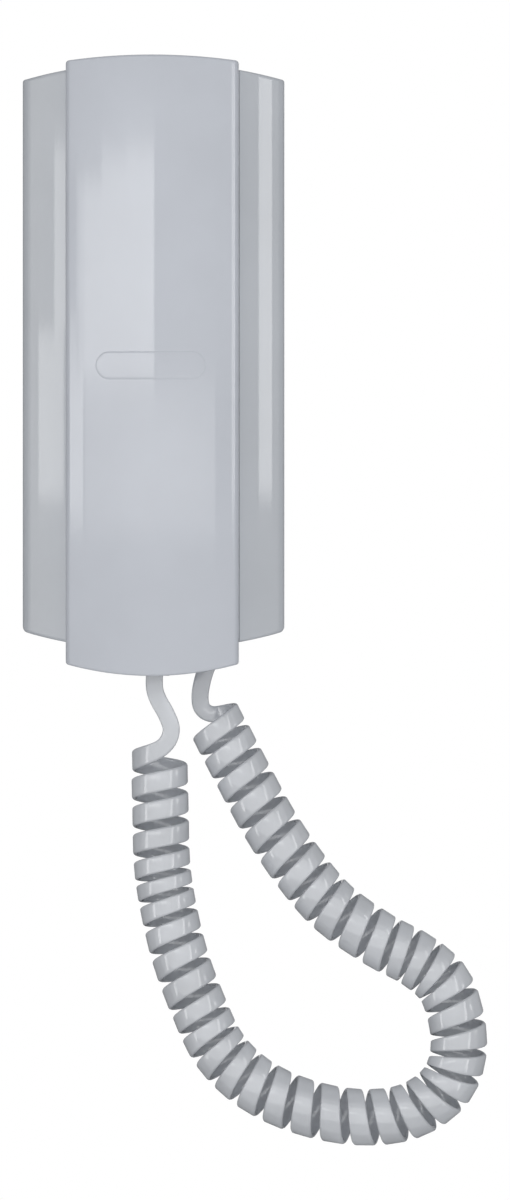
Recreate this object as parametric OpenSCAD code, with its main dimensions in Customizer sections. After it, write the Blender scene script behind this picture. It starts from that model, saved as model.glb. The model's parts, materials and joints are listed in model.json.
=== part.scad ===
// Wall intercom: a convex base, a bar handset lying in its channel and a flat curly cord.
// Millimetres. X runs to the right, Y into the wall and Z up. The wall is the plane Y = 0,
// and the origin lies on it, midway between the two wall screws.
// A depth is a distance out from the wall, so a point at depth d has Y = -d.

/* [Base] */
// Width of the base
base_w = 87.5; // [84:0.5:96]
// Height of the base's top edge above the origin, at its middle
base_top = 98; // [96:0.5:108]
// Drop of the base's bottom edge below the origin, at its middle
base_bottom = 98; // [97:0.5:106]
// Radius of the arched top end
base_top_r = 170; // [120:5:300]
// Radius of the arched bottom end
base_bottom_r = 156; // [120:4:300]
// Corner radius at the top end
base_top_corner = 1; // [0.6:0.2:4]
// Corner radius at the bottom end
base_bottom_corner = 2.5; // [0.6:0.1:5]
// Depth at which the side walls meet the convex front
base_side = 18; // [17:0.5:24]
// Radius of the convex front, seen from above
base_front_r = 62; // [54:1:76]
// Rounding between the side walls and the front
base_edge_r = 4; // [0.6:0.2:6]
// Wall thickness of the housing
base_wall = 2.2; // [1.8:0.1:2.8]
// Gap between the wall and the housing's rim
rim_gap = 0.4; // [0.2:0.1:1]

/* [Rear plate] */
// Thickness of the rear plate
plate_t = 2.4; // [2:0.1:3.2]
// Clearance between the rear plate and the housing
plate_gap = 0.3; // [0.2:0.05:0.6]
// Height of the stiffening rib along the plate's edge
plate_rib_h = 2; // [1:0.2:3]
// Distance between the two wall screws
wall_screw_spacing = 83.5; // [76:0.5:92]
// Diameter of the wall screw holes
wall_screw_hole = 4.6; // [3.6:0.2:6]
// Diameter of the wire entry
wire_entry_d = 16; // [10:0.5:18]
// Place of the wire entry, to the left of the middle
wire_entry_x = -16; // [-22:0.5:-14]
// Height of the wire entry
wire_entry_z = -46; // [-52:0.5:-45]

/* [Cradle] */
// Depth of the flat channel that the handset lies in
channel_depth = 24; // [23.5:0.25:25.5]
// Side clearance of the handset in its channel
channel_gap = 0.4; // [0.3:0.1:1.2]
// Clearance under the resting handset
seat_gap = 0.4; // [0.3:0.05:0.6]
// Clearance of the handset's cups in their pockets
cup_gap = 1; // [0.9:0.1:1.6]
// How far the pockets lie above the cups, so that the handset lifts off upwards
cup_lift = 0.4; // [0.3:0.1:0.5]

/* [Handset] */
// Width of the handset
handset_w = 57.6; // [54:0.4:60]
// Height of the handset's top edge above the origin
handset_top = 100.2; // [98:0.2:112]
// Drop of the handset's bottom edge below the origin
handset_bottom = 106.4; // [104:0.2:112]
// Radius of the arched top end
handset_top_r = 218; // [120:2:300]
// Radius of the arched bottom end
handset_bottom_r = 108; // [80:2:300]
// Corner radius at both ends
handset_corner = 1.2; // [0.6:0.1:3]
// Height of the side walls above the handset's flat face
handset_side = 14; // [13:0.5:18]
// Radius of the convex front, seen from above
handset_front_r = 58; // [48:1:80]
// Rounding between the side walls and the front
handset_edge_r = 3.6; // [0.6:0.1:5]
// Wall thickness of the handset
handset_wall = 2; // [1.6:0.1:2.6]
// Thickness of the handset's back
back_t = 2.6; // [2.4:0.1:3]
// Height of the lip that locates the back in the cover
lip_h = 2; // [1.4:0.1:2.4]
// Width of the finger scoop in the back
scoop_w = 40; // [30:1:44]
// Depth of the finger scoop
scoop_depth = 3.2; // [2.8:0.1:4]
// Upper end of the finger scoop
scoop_top = 18; // [10:0.5:19]
// Lower end of the finger scoop
scoop_bottom = -36; // [-37:0.5:-30]

/* [Earpiece and mouthpiece] */
// Height of the ear cup's middle
ear_z = 62; // [61:0.5:66]
// Radius of the ear cup at the handset's face
ear_face_r = 23; // [22:0.25:23.5]
// Radius of the ear cup at its tip
ear_tip_r = 20; // [19:0.25:20.5]
// How far the ear cup stands out
ear_reach = 8.5; // [7:0.25:9]
// Height of the mouth cup's middle
mouth_z = -72; // [-74:0.5:-70]
// Radius of the mouth cup at the handset's face
mouth_face_r = 20; // [18:0.25:21]
// Radius of the mouth cup at its tip
mouth_tip_r = 17.5; // [15:0.25:18]
// How far the mouth cup stands out
mouth_reach = 7; // [6:0.25:8]
// Wall thickness of the cups
cup_wall = 2; // [1.4:0.1:2.4]
// Diameter of the ear cup's sound holes
ear_hole_d = 2.4; // [1.6:0.2:3]
// Height of the earpiece capsule's frame
capsule_h = 8; // [6:0.5:9]
// Radius of the microphone
mic_r = 4.9; // [4:0.1:5.4]
// Height of the microphone
mic_h = 6.5; // [5:0.25:7]

/* [Hook] */
// Height of the hook lever's pivot
hook_z = 6; // [5:0.25:7]
// Depth of the hook lever's pivot
hook_depth = 14; // [13.6:0.1:14.4]
// Length of the lever from its pivot to its nose
hook_reach = 24.25; // [23:0.25:25]
// Width of the lever
hook_w = 8; // [6:0.5:10]
// Thickness of the lever
hook_t = 3.4; // [3:0.1:3.8]
// Length of the nose along the lever
nose_l = 5.5; // [4.5:0.25:6]
// Angle that the lever turns when the handset is lifted
hook_turn = 12; // [8:0.5:13]
// Diameter of the lever's pin
pin_d = 3; // [2.4:0.1:3.4]
// Running clearance round the pin
pin_gap = 0.05; // [0.03:0.01:0.08]
// Distance from the pivot to the hook switch's plunger
hook_switch_arm = 7.2; // [7:0.1:8]

/* [Release button] */
// Height of the release button
button_z = -18; // [-20:0.5:-16]
// Radius of the release button
button_r = 7.5; // [6:0.25:8.5]
// How far the button stands out of the channel
button_proud = 2; // [1:0.1:2.2]
// Clearance round the button
button_gap = 0.3; // [0.2:0.05:0.5]
// Travel of the button
button_travel = 1.8; // [1:0.1:1.9]

/* [Circuit board] */
// Width of the board
board_w = 68; // [66:1:74]
// Height of the board's upper edge
board_top = 19; // [18.5:0.25:19.5]
// Height of the board's lower edge
board_bottom = -34; // [-36:0.5:-34]
// Depth of the board's rear face
board_depth = 5; // [4.6:0.1:5.2]
// Thickness of the board
board_t = 1.6; // [1.2:0.1:1.8]
// Pitch of the wire terminals
terminal_pitch = 5; // [4.6:0.1:5.1]
// Number of wire terminals
terminal_count = 4; // [2:1:4]
// Radius of the ringer
ringer_r = 11; // [8:0.5:12]
// Height of the ringer
ringer_h = 9; // [6:0.5:11]

/* [Cord] */
// Width of a plain lead
lead_w = 5.7; // [4.5:0.1:6.5]
// Thickness of the flat cord
cord_t = 1.3; // [1:0.1:1.6]
// Radius of the coil, to the middle of the cord
coil_r = 8.7; // [7:0.1:9.5]
// Part of each turn's pitch that the flat cord fills
coil_fill = 0.72; // [0.5:0.02:0.78]
// Depth of the coil's middle line
coil_depth = 24; // [20:0.5:26]
// Distance of the handset's lead from the middle
handset_lead_x = 0.7; // [0:0.1:1]
// Distance of the base's lead from the middle
base_lead_x = 18.5; // [18:0.1:19]

/* [Hidden] */
$fn = 96;

// Colours of the pieces
shell_grey = "#bcc0c8";
handset_grey = "#c3c7ce";
cord_grey = "#bfc3ca";
rubber_grey = "#9a9da3";
board_green = "#2f6b4a";
terminal_green = "#3d8a57";
steel = "#c9ccd0";
black = "#2a2b2e";

// Past every face that a cut has to break through
cut = 1;
// Corner radius inside a hollow
inner_corner = 0.4;
// How much larger than its radius a corner's arc is drawn
corner_swell = 1.01;
// Clearance between pieces that move past each other
move_gap = 0.3;

// Depth of the base's front at its middle, were there no channel
base_crown = base_side + base_front_r - sqrt(pow(base_front_r, 2) - pow(base_w / 2, 2));
channel_half = handset_w / 2 + channel_gap;
channel_under = channel_depth - base_wall;

// Depths of the handset's flat face, of the joint between its shells and of its crown
face_depth = channel_depth + seat_gap;
split_depth = face_depth + back_t;
handset_crown = handset_side + handset_front_r - sqrt(pow(handset_front_r, 2) - pow(handset_w / 2, 2));

// Clearance between a cup's tip and the floor of its pocket
cup_floor_gap = 0.6;
capsule_floor = face_depth - ear_reach + cup_wall;
gasket_t = 0.8;
gasket_w = 3.5;
capsule_gap = 0.5;
capsule_r = ear_tip_r - cup_wall - capsule_gap;
capsule_back = capsule_floor + gasket_t + capsule_h;
magnet_r = 8;
magnet_h = 3.5;
clamp_r = 2;
clamp_inset = 4;
clamp_ring = capsule_r - clamp_inset;
mic_floor = face_depth - mouth_reach + cup_wall;
boot_wall = 1.6;
boot_floor = 1;
boot_lip = 1;
mic_ring_wall = 1.5;
mic_ring_h = 5.5;
mic_hole_r = 0.8;
mic_hole_pitch = 4;
sound_ring = 5;

// Screws that hold the handset's shells together
handset_screw_x = 18;
handset_screw_top = 29;
handset_screw_bottom = -44;
screw_r = 1.5;
screw_head_r = 2.7;
screw_head_h = 1.6;
screw_l = 9;
post_r = 3.2;
screw_gap = 0.1;
screw_head_gap = 0.2;
screw_end_gap = 0.5;
// Cross recess of a screw
recess_l = screw_head_r * 1.2;
recess_w = 0.7;

// Inside of the handset's back: the lip, its clearance, and the tray of the finger scoop
lip_t = 1.2;
lip_gap = 0.15;
tray_wall = 1.8;
tray_corner = 6;

// Hook lever
hook_back = hook_depth - hook_t / 2;
nose_z = hook_z + hook_reach;
nose_tip = face_depth - move_gap;
hub_wall = 1.7;
hub_r = pin_d / 2 + hub_wall;
hub_half = hook_w / 2 + move_gap;
lug_t = 2.5;
lug_wall = 2;
lug_r = pin_d / 2 + lug_wall;
lug_inner = hub_half + move_gap;
slot_gap = 0.5;
// Height above the pivot of the nose's lower corner when the lever is out
nose_low = (hook_reach - nose_l / 2) * cos(hook_turn) - (nose_tip - hook_depth) * sin(hook_turn);
hook_spring_z = 24;
spring_seat_r = 3.5;
spring_seat_h = 2.8;
spring_seat_depth = plate_t + spring_seat_h;
spring_pin_r = 1.4;
spring_pin_h = 2.6;
hook_spring_r = 2.2;
hook_spring_wire = 0.5;
hook_spring_turns = 5;
// Clearance under a spring's first turn
spring_gap = 0.1;

// Circuit board and what stands on it
board_front = board_depth + board_t;
board_screw_inset = 4;
board_screw_x = board_w / 2 - board_screw_inset;
board_screw_low = board_bottom + board_screw_inset;
board_screw_high = board_top - board_screw_inset;
standoff_r = 3.2;
pilot_floor = 1.2;
hook_switch_size = [12.8, 4.3, 5.8];
hook_switch_z = hook_z + hook_switch_arm;
hook_plunger_r = 1.2;
hook_plunger_l = 4.2;
release_switch_size = [8.5, 4.8, 8.5];
release_switch_top = board_front + release_switch_size[1];
release_plunger_r = 1.5;
switch_bore_floor = 0.2;
terminal_h = 10;
terminal_l = 10;
terminal_end = 0.2;
// Clearance between the terminal block and the board screw beside it
terminal_gap = 0.9;
terminal_left = screw_head_r + terminal_gap - board_screw_x;
terminal_right = terminal_left + terminal_pitch * terminal_count + 2 * terminal_end;
terminal_screw_r = 1.7;
terminal_screw_h = 1.6;
terminal_screw_drop = 2.6;
terminal_slot = 0.6;
terminal_mouth_r = 1.6;
terminal_mouth_h = terminal_h / 3;
terminal_mouth_l = terminal_l * 0.6;
ringer_x = 21;
ringer_z = -19;
ringer_rim = 1.5;
ringer_groove = 0.6;
ringer_hub_r = 4;
ringer_hole_r = 1.5;
ringer_hole_l = 2;
// Sound holes over the ringer in the channel's floor: one in the middle and a ring of six
chime_hole_r = 1;
chime_ring = 4;
transformer_x = -21;
transformer_z = -2;
core_size = [16, 9, 13];
bobbin_size = [10, 8, 17];
core_lift = 1;
// X, height, radius and length of each capacitor
capacitor_places = [[18, 0, 4, 11.5], [28, -1, 4, 11.5], [19, 9.5, 3.2, 9]];

// Release button
flange_lip = 1.5;
flange_r = button_r + flange_lip;
flange_t = 1.6;
flange_front = channel_under - move_gap;
flange_back = flange_front - flange_t;
button_top = channel_depth + button_proud;
button_dish_r = 28;
button_dish = 0.7;
stem_r = 2;
// Clearance between the stem and the switch when the button is pressed
stem_gap = 0.8;
stem_end = release_switch_top + button_travel + stem_gap;
release_plunger_end = board_front + switch_bore_floor + button_travel + move_gap;
button_spring_r = 3.3;
button_spring_wire = 0.45;
button_spring_turns = 5;

// Housing fixings
housing_screw_depth = 9;
housing_screw_l = 9.5;
housing_screw_hole_r = screw_r + screw_head_gap;
boss_half = 5;
boss_front = 13.5;
boss_h = 8.5;
tab_x = 22;
tab_w = 8;
tab_skin = 0.9;
tab_t = 1.6;
tab_l = base_wall * 4;
// Height of the arched top end over the tabs' outer edges
tab_z = base_top - base_top_r + sqrt(pow(base_top_r, 2) - pow(tab_x + tab_w / 2, 2));

// Cord entries
grommet_side = 2;
grommet_skin = 1.5;
grommet_w = lead_w + 2 * grommet_side;
grommet_t = cord_t + 2 * grommet_skin;
grommet_lip = 1.2;
grommet_flange_t = 2;
// Room above the base's grommet for the rise of the arched wall
grommet_rise = 2;
grommet_gap = 0.1;
handset_lead_depth = coil_depth + coil_r;
base_lead_depth = coil_depth - coil_r;
// How far the cord's end lies inside the base's grommet
lead_tuck = 0.4;
base_lead_z = lead_tuck - base_bottom;
handset_lead_z = -handset_bottom - move_gap;

// The coil's middle line as X and the drop below the handset, one point every two turns, with turn 0
// at the second point.
coil_route = [
    [1.5, 6.6], [2, 25.6], [2.5, 44.6], [3, 62.6], [5, 76.6], [9, 93.6], [15.5, 111.1],
    [22.5, 125.1], [34, 136.1], [50, 143.6], [68.5, 147.1], [85.5, 145.1], [98, 136.1],
    [102, 122.1], [98, 104.6], [88.5, 95.1], [75.5, 88.1], [60.5, 77.6], [49.5, 65.1],
    [39, 49.6], [30, 33.1], [22, 17.6], [14.5, 2.6], [7, -12.4]
];
coil_start = 0.06;
coil_end = 40.45;
// The lead from the handset to the coil's front, and the one from its back to the base, in the same way
handset_lead = [[handset_lead_x, 4.1], [2, 8.1], [4.5, 12.6], [6.3, 17.6], [5.3, 22.1], [2.6, 25]];
base_lead = [[20.2, 13.4], [17.8, 12.6], [16, 10.6], [15.5, 7.1], [16, 3.1], [17.2, -1.4]];
// Straight length of the base's lead below its grommet, and of a lead's unseen end
lead_straight = 3.9;
lead_tail = 4;
// Steps along the cord over which its direction is taken: in turns, in lead points and where they join
coil_look = 0.05;
lead_look = 0.02;
join_look = 0.06;
rings_per_turn = 8;
rings_per_lead_step = 3;
wire_sides = 6;
// Rings of the cord between which the least gap is looked for
gap_from = 6;
gap_to = 11;

// A box between two X, two depths and two heights
module block(x0, x1, d0, d1, z0, z1) {
    translate([x0, -d1, z0]) cube([x1 - x0, d1 - d0, z1 - z0]);
}

// A tapered bar that runs out from the wall
module cone(x, z, d0, d1, r0, r1) {
    translate([x, -d0, z]) rotate([90, 0, 0]) cylinder(h = d1 - d0, r1 = r0, r2 = r1);
}

// A round bar that runs out from the wall
module post(x, z, d0, d1, r) {
    cone(x, z, d0, d1, r, r);
}

// A round bar that runs across, from one X to another
module crossbar(depth, z, x0, x1, r) {
    translate([x0, -depth, z]) rotate([0, 90, 0]) cylinder(h = x1 - x0, r = r);
}

// A flat outline in X and Z, drawn out from depth d0 to d1
module along_depth(d0, d1) {
    translate([0, -d0, 0]) rotate([90, 0, 0]) linear_extrude(d1 - d0) children();
}

// A sheet from y = 0 up to an arc whose crown is at y = crown, with rounded corners.
// A corner's arc is a touch larger than its radius, so that it crosses the edges instead of touching them.
module arch(w, crown, r, corner) {
    centre_y = crown - r;
    corner_x = w / 2 - corner;
    corner_y = centre_y + sqrt(pow(r - corner, 2) - pow(corner_x, 2));
    reach = 3 * corner;
    lean = unit([corner_x, corner_y - centre_y]);
    difference() {
        intersection() {
            translate([-w / 2, 0]) square([w, crown + cut]);
            translate([0, centre_y]) circle(r);
        }
        for (side = [0, 1])
            mirror([side, 0]) translate([corner_x, corner_y]) difference() {
                polygon([[0, 0], [reach, 0], [reach, reach], reach * lean]);
                circle(corner * corner_swell);
            }
    }
}

// A rounded rectangle round the middle of its two heights
module rounded_sheet(w, z0, z1, corner) {
    translate([-w / 2, z0 + corner]) square([w, z1 - z0 - 2 * corner]);
    translate([corner - w / 2, z0]) square([w - 2 * corner, z1 - z0]);
    for (x = [corner - w / 2, w / 2 - corner], z = [z0 + corner, z1 - corner])
        translate([x, z]) circle(corner);
}

// The base seen from the front, set in from its edge
module base_outline(inset) {
    arch(base_w - 2 * inset, base_top - inset, base_top_r - inset,
        max(base_top_corner - inset, inner_corner));
    mirror([0, 1])
        arch(base_w - 2 * inset, base_bottom - inset, base_bottom_r - inset,
            max(base_bottom_corner - inset, inner_corner));
}

// The base as one convex body, set in from its faces
module base_body(inset, d0) {
    intersection() {
        translate([0, 0, -base_bottom - cut]) linear_extrude(base_top + base_bottom + 2 * cut)
            mirror([0, 1])
                arch(base_w - 2 * inset, base_crown - inset, base_front_r - inset,
                    max(base_edge_r - inset, inner_corner));
        along_depth(d0, base_crown + cut) base_outline(inset);
    }
}

// The handset seen from the front, set in from its edge
module handset_outline(inset) {
    corner = max(handset_corner - inset, inner_corner);
    arch(handset_w - 2 * inset, handset_top - inset, handset_top_r - inset, corner);
    mirror([0, 1]) arch(handset_w - 2 * inset, handset_bottom - inset, handset_bottom_r - inset, corner);
}

// The handset as one convex body, set in from its faces
module handset_body(inset, d0) {
    intersection() {
        translate([0, -face_depth, -handset_bottom - cut])
            linear_extrude(handset_top + handset_bottom + 2 * cut)
                mirror([0, 1])
                    arch(handset_w - 2 * inset, handset_crown - inset, handset_front_r - inset,
                        max(handset_edge_r - inset, inner_corner));
        along_depth(d0, face_depth + handset_crown + cut) handset_outline(inset);
    }
}

// A pocket for one of the handset's cups, grown by a wall where it bounds the hollow behind it
module pocket(z, face_r, tip_r, reach, grow, rise) {
    floor_depth = face_depth - reach - cup_floor_gap;
    slope = (face_r - tip_r) / (channel_depth - floor_depth);
    cone(0, z + cup_lift, floor_depth - grow, channel_depth + rise,
        tip_r + cup_gap + grow - slope * grow, face_r + cup_gap + grow + slope * rise);
}

module pockets(grow, rise) {
    pocket(ear_z, ear_face_r, ear_tip_r, ear_reach, grow, rise);
    pocket(mouth_z, mouth_face_r, mouth_tip_r, mouth_reach, grow, rise);
}

// A cord grommet's stem, at a lead's place
module grommet_stem(x, depth, gap, z0, z1) {
    block(x - grommet_w / 2 - gap, x + grommet_w / 2 + gap,
        depth - grommet_t / 2 - gap, depth + grommet_t / 2 + gap, z0, z1);
}

// A cord grommet's flange, before it is trimmed to the wall that it lies on
module grommet_flange(x, depth, z0, z1) {
    grommet_stem(x, depth, grommet_lip, z0, z1);
}

// Places of the four board screws
module at_board_screws() {
    for (x = [-board_screw_x, board_screw_x], z = [board_screw_low, board_screw_high])
        translate([x, 0, z]) children();
}

// Places of the four handset screws
module at_handset_screws() {
    for (x = [-handset_screw_x, handset_screw_x], z = [handset_screw_top, handset_screw_bottom])
        translate([x, 0, z]) children();
}

// A closed skin over a row of rings with the same number of points
module skin(rings) {
    sides = len(rings[0]);
    last = len(rings) - 1;
    walls = [
        for (i = [0 : last - 1], j = [0 : sides - 1])
            let (a = i * sides + j, b = i * sides + (j + 1) % sides)
                each [[a, a + sides, b], [b, a + sides, b + sides]]
    ];
    first_cap = [for (j = [1 : sides - 2]) [0, j, j + 1]];
    last_cap = [for (j = [1 : sides - 2]) [last * sides, last * sides + j + 1, last * sides + j]];
    polyhedron(points = [for (ring = rings) each ring], faces = concat(walls, first_cap, last_cap));
}

// A round wire spring that stands out from the wall, from depth d0 to d1
module spring(x, z, d0, d1, r, wire, turns) {
    rise = d1 - d0 - wire;
    steps = turns * rings_per_turn;
    skin([
        for (i = [0 : steps])
            let (angle = 360 * i / rings_per_turn, depth = d0 + wire / 2 + rise * i / steps)
                [
                    for (j = [0 : wire_sides - 1])
                        let (round = 360 * j / wire_sides, out = r + cos(round) * wire / 2)
                            [x + out * cos(angle), -depth - sin(round) * wire / 2, z + out * sin(angle)]
                ]
    ]);
}

// A point of a smooth curve through a list of points, at a place counted in points
function curve(points, t) =
    let (
        i = min(max(floor(t), 1), len(points) - 3),
        f = t - i,
        a = points[i - 1],
        b = points[i],
        c = points[i + 1],
        d = points[i + 2]
    )
    b + (c - a) * f / 2 + (2 * a - 5 * b + 4 * c - d) * f * f / 2 + (3 * b - a - 3 * c + d) * f * f * f / 2;

function unit(v) = v / norm(v);

// A point of a route as X and Z
function hung(point) = [point[0], -handset_bottom - point[1]];

// The coil's middle line at a turn, and its direction there
function coil_middle(turn) = hung(curve(coil_route, turn / 2 + 1));
function coil_direction(turn) = unit(coil_middle(turn + coil_look) - coil_middle(turn - coil_look));

// A point of the coil: along is in turns, out is in millimetres from the middle of the cord
function coil_point(turn, along, out) =
    let (
        middle = coil_middle(turn + along),
        direction = coil_direction(turn + along),
        reach = coil_r + out,
        across = reach * sin(360 * turn)
    )
    [
        middle[0] + across * direction[1],
        -coil_depth - reach * cos(360 * turn),
        middle[1] - across * direction[0]
    ];

// The flat cord's section: shares of its width and of its thickness
cord_section = [[-0.5, 0], [-0.42, 0.5], [0.42, 0.5], [0.5, 0], [0.42, -0.5], [-0.42, -0.5]];

function coil_ring(turn) =
    [for (p = cord_section) coil_point(turn, p[0] * coil_fill, p[1] * cord_t)];

// A ring of a plain lead: face is 1 where the cord's outer face looks away from the wall, and else -1
function lead_ring(points, t, depth, face) =
    let (
        place = curve(points, t),
        direction = unit(curve(points, t + lead_look) - curve(points, t - lead_look))
    )
    [
        for (p = cord_section)
            let (across = -face * p[0] * lead_w)
                [
                    place[0] + across * direction[1],
                    -depth - face * p[1] * cord_t,
                    place[1] - across * direction[0]
                ]
    ];

function flat(point) = [point[0], point[2]];

// Each lead's points from end to end, with one more before and after it, which set its direction there
handset_lead_points = concat(
    [[handset_lead_x, handset_lead_z + lead_tail], [handset_lead_x, handset_lead_z]],
    [for (point = handset_lead) hung(point)],
    [flat(coil_point(coil_start, 0, 0)), flat(coil_point(coil_start + join_look, 0, 0))]
);
base_lead_points = concat(
    [flat(coil_point(coil_end - join_look, 0, 0)), flat(coil_point(coil_end, 0, 0))],
    [for (point = base_lead) hung(point)],
    [
        [base_lead_x, base_lead_z - lead_straight], [base_lead_x, base_lead_z],
        [base_lead_x, base_lead_z + lead_tail]
    ]
);
handset_lead_steps = (len(handset_lead_points) - 3) * rings_per_lead_step;
base_lead_steps = (len(base_lead_points) - 3) * rings_per_lead_step;

cord_rings = concat(
    [
        for (i = [0 : handset_lead_steps - 2])
            lead_ring(handset_lead_points, 1 + i / rings_per_lead_step, handset_lead_depth, 1)
    ],
    [for (i = [0 : (coil_end - coil_start) * rings_per_turn]) coil_ring(coil_start + i / rings_per_turn)],
    [
        for (i = [2 : base_lead_steps])
            lead_ring(base_lead_points, 1 + i / rings_per_lead_step, base_lead_depth, -1)
    ]
);

// The least gap between points of the cord that lie more than two thirds of a turn apart along it
function least_gap(rings, nearest, farthest) =
    min([
        for (i = [0 : len(rings) - 1 - nearest])
            min([
                for (j = [i + nearest : min(i + farthest, len(rings) - 1)], p = rings[i], q = rings[j])
                    norm(p - q)
            ])
    ]);

// Rear plate, fixed to the wall, with the board's standoffs, the spring's seat and the housing's fixings
module rear_plate() {
    plate_inset = base_wall + plate_gap;
    color(shell_grey) difference() {
        union() {
            along_depth(0, plate_t) base_outline(plate_inset);
            difference() {
                along_depth(plate_t, plate_t + plate_rib_h) base_outline(plate_inset);
                along_depth(plate_t, plate_t + plate_rib_h + cut) base_outline(plate_inset + base_wall);
            }
            at_board_screws() post(0, 0, plate_t, board_depth, standoff_r);
            post(0, hook_spring_z, plate_t, spring_seat_depth, spring_seat_r);
            post(0, hook_spring_z, plate_t, spring_seat_depth + spring_pin_h, spring_pin_r);
            block(-boss_half, boss_half, plate_t, boss_front,
                plate_inset - base_bottom, plate_inset - base_bottom + boss_h);
            for (side = [-1, 1])
                translate([side * tab_x, 0, 0])
                    block(-tab_w / 2, tab_w / 2, plate_t - tab_t, plate_t,
                        tab_z - tab_l, tab_z - tab_skin - plate_gap);
        }
        for (side = [-1, 1])
            post(0, side * wall_screw_spacing / 2, -cut, plate_t + cut, wall_screw_hole / 2);
        post(wire_entry_x, wire_entry_z, -cut, plate_t + cut, wire_entry_d / 2);
        at_board_screws() post(0, 0, pilot_floor, board_depth + cut, screw_r);
        translate([0, -housing_screw_depth, -base_bottom])
            cylinder(h = housing_screw_l, r = screw_r);
    }
}

// Front housing: the convex shell, its channel and pockets, and the lugs of the hook lever
module front_housing() {
    color(shell_grey) difference() {
        union() {
            difference() {
                base_body(0, rim_gap);
                difference() {
                    base_body(base_wall, -cut);
                    block(-channel_half - base_wall, channel_half + base_wall,
                        channel_under, base_crown + cut, -base_bottom - cut, base_top + cut);
                    pockets(base_wall, 0);
                }
                block(-channel_half, channel_half, channel_depth, base_crown + cut,
                    -base_bottom - cut, base_top + cut);
                pockets(0, cut);
            }
            for (side = [-1, 1])
                mirror([side < 0 ? 1 : 0, 0, 0]) {
                    crossbar(hook_depth, hook_z, lug_inner, lug_inner + lug_t, lug_r);
                    block(lug_inner, lug_inner + lug_t, hook_depth, channel_under + base_wall / 2,
                        hook_z - lug_r, hook_z + lug_r);
                }
        }
        crossbar(hook_depth, hook_z, -lug_inner - lug_t - cut, lug_inner + lug_t + cut, pin_d / 2);
        block(-hook_w / 2 - slot_gap, hook_w / 2 + slot_gap, channel_under - cut, channel_depth + cut,
            hook_z + nose_low - slot_gap, nose_z + nose_l / 2 + slot_gap);
        post(0, button_z, channel_under - cut, channel_depth + cut, button_r + button_gap);
        post(ringer_x, ringer_z, channel_under - cut, channel_depth + cut, chime_hole_r);
        for (turn = [0 : 60 : 300])
            post(ringer_x + chime_ring * cos(turn), ringer_z + chime_ring * sin(turn),
                channel_under - cut, channel_depth + cut, chime_hole_r);
        grommet_stem(base_lead_x, base_lead_depth, grommet_gap,
            -base_bottom - cut, cut - base_bottom + 3 * base_wall);
        translate([0, -housing_screw_depth, -base_bottom - cut])
            cylinder(h = base_wall + 2 * cut, r = housing_screw_hole_r);
        for (side = [-1, 1])
            translate([side * tab_x, 0, 0])
                block(-tab_w / 2 - plate_gap, tab_w / 2 + plate_gap,
                    rim_gap + plate_gap, plate_t + plate_gap, tab_z - tab_l, tab_z - tab_skin);
    }
}

// Screw that holds the housing to the rear plate, from below
module housing_screw() {
    color(steel) difference() {
        translate([0, -housing_screw_depth, -base_bottom]) {
            cylinder(h = housing_screw_l, r = screw_r);
            translate([0, 0, -screw_head_h]) cylinder(h = screw_head_h, r = screw_head_r);
        }
        translate([0, -housing_screw_depth, -base_bottom - screw_head_h])
            for (turn = [0, 90])
                rotate([0, 0, turn]) cube([recess_l, recess_w, screw_head_h], center = true);
    }
}

module circuit_board() {
    color(board_green) difference() {
        block(-board_w / 2, board_w / 2, board_depth, board_front, board_bottom, board_top);
        at_board_screws() post(0, 0, board_depth - cut, board_front + cut, screw_r + screw_gap);
    }
}

// A pan head screw with a cross recess, whose head's underside lies at depth d and faces the wall
module pan_screw(d, shank_l) {
    difference() {
        union() {
            post(0, 0, d - shank_l, d, screw_r);
            post(0, 0, d, d + screw_head_h, screw_head_r);
        }
        for (turn = [0, 90])
            translate([0, -d - screw_head_h, 0]) rotate([0, turn, 0])
                cube([recess_l, screw_head_h, recess_w], center = true);
    }
}

module board_screws() {
    color(steel) at_board_screws() pan_screw(board_front, board_front - pilot_floor - move_gap);
}

// Places of the wire terminals, from the left
module at_terminals() {
    first = terminal_left + terminal_end + terminal_pitch / 2;
    for (i = [0 : terminal_count - 1])
        translate([first + terminal_pitch * i, 0, board_bottom + terminal_l / 2]) children();
}

module terminal_block() {
    color(terminal_green) difference() {
        block(terminal_left, terminal_right, board_front, board_front + terminal_h,
            board_bottom, board_bottom + terminal_l);
        at_terminals() {
            post(0, 0, board_front + terminal_h - terminal_screw_drop, board_front + terminal_h + cut,
                terminal_screw_r);
            translate([0, -board_front - terminal_mouth_h, -terminal_l / 2 - cut])
                cylinder(h = terminal_mouth_l + cut, r = terminal_mouth_r);
        }
    }
}

module terminal_screws() {
    seat = board_front + terminal_h - terminal_screw_drop;
    color(steel) at_terminals() difference() {
        post(0, 0, seat, seat + terminal_screw_h, terminal_screw_r);
        translate([0, -seat - terminal_screw_h, 0])
            cube([terminal_screw_r * 3, terminal_screw_h, terminal_slot], center = true);
    }
}

// Switch body on the board with a blind bore for its plunger
module switch_body(z, size, bore_r) {
    difference() {
        block(-size[0] / 2, size[0] / 2, board_front, board_front + size[1],
            z - size[2] / 2, z + size[2] / 2);
        post(0, z, board_front + switch_bore_floor, board_front + size[1] + cut, bore_r);
    }
}

module hook_switch() {
    color(black) switch_body(hook_switch_z, hook_switch_size, hook_plunger_r + pin_gap);
}

module hook_plunger() {
    tip = hook_back - move_gap;
    color(steel) post(0, hook_switch_z, tip - hook_plunger_l, tip, hook_plunger_r);
}

module release_switch() {
    color(black) switch_body(button_z, release_switch_size, release_plunger_r + pin_gap);
}

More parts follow.
